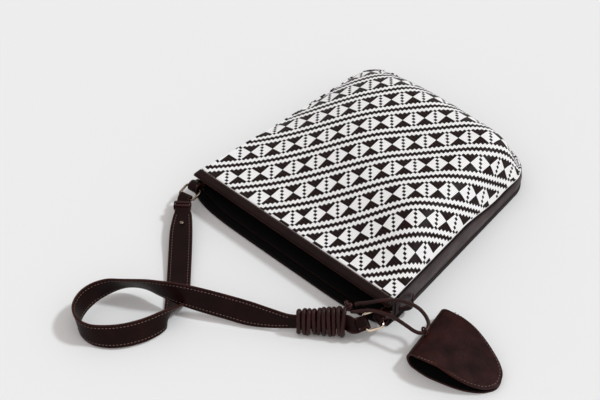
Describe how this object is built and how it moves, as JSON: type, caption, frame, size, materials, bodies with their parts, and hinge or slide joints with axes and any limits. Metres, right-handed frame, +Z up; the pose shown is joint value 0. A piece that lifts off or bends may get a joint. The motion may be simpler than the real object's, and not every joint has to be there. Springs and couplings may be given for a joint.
{
  "type": "woven shoulder bag",
  "caption": "Flat-lying shoulder bag with a woven patterned front, leather gusset, lined open mouth, ringed leather strap and a folded leaf charm on a cord.",
  "frame": {"origin": "middle of the mouth on the flat underside of the back panel", "axes": "+X along the mouth towards the charm, +Y from the mouth to the base, +Z up out of the woven front"},
  "size_m": [0.4803, 0.5743, 0.0775],
  "materials": {
    "woven_strands": "flat woven strands",
    "brown_leather": "soft sheen",
    "black_lining": "matt",
    "pale_gold_metal": "polished"
  },
  "bodies": {
    "bag": {"back_panel": "woven_strands", "back_piping": "brown_leather", "gusset": "brown_leather", "front_piping": "brown_leather", "front_panel": "woven_strands", "front_binding": "brown_leather", "back_binding": "brown_leather", "left_end_binding": "brown_leather", "right_end_binding": "brown_leather", "lining": "black_lining", "left_tab": "brown_leather", "right_tab": "brown_leather", "left_rivet": "pale_gold_metal", "right_rivet": "pale_gold_metal", "gusset_loop": "brown_leather"},
    "left_ring": {"left_ring": "pale_gold_metal"},
    "right_ring": {"right_ring": "pale_gold_metal"},
    "strap": {"strap": "brown_leather", "strap_keeper_1": "brown_leather", "strap_keeper_2": "brown_leather", "strap_stud": "pale_gold_metal", "cord_wrap": "brown_leather", "cord_knot": "brown_leather"},
    "charm": {"charm": "brown_leather", "charm_eye": "brown_leather", "charm_cord": "brown_leather"}
  },
  "joints": [
    {"name": "left_ring_hinge", "type": "hinge", "parent": "bag", "child": "left_ring", "pos_m": [-0.1555, -0.0178, 0.021], "axis": [-0.9999, 0.0153, -0.0016], "range_deg": [0, 40]},
    {"name": "right_ring_hinge", "type": "hinge", "parent": "bag", "child": "right_ring", "pos_m": [0.1592, -0.0226, 0.0215], "axis": [-0.9999, 0.0153, -0.0016], "range_deg": [0, 40]},
    {"name": "strap_hinge", "type": "hinge", "parent": "left_ring", "child": "strap", "pos_m": [-0.15267, -0.03795, 0.0185], "axis": [-1, 0.0069, -0.0017], "range_deg": [0, 6]},
    {"name": "charm_hinge", "type": "hinge", "parent": "strap", "child": "charm", "pos_m": [0.1233, -0.0397, 0.0289], "axis": [-0.9999, 0.0153, -0.0016], "range_deg": [-40, 0]}
  ],
  "couplings": [
    {"joint": "right_ring_hinge", "follows": "left_ring_hinge", "ratio": 1},
    {"joint": "charm_hinge", "follows": "left_ring_hinge", "ratio": -1}
  ]
}
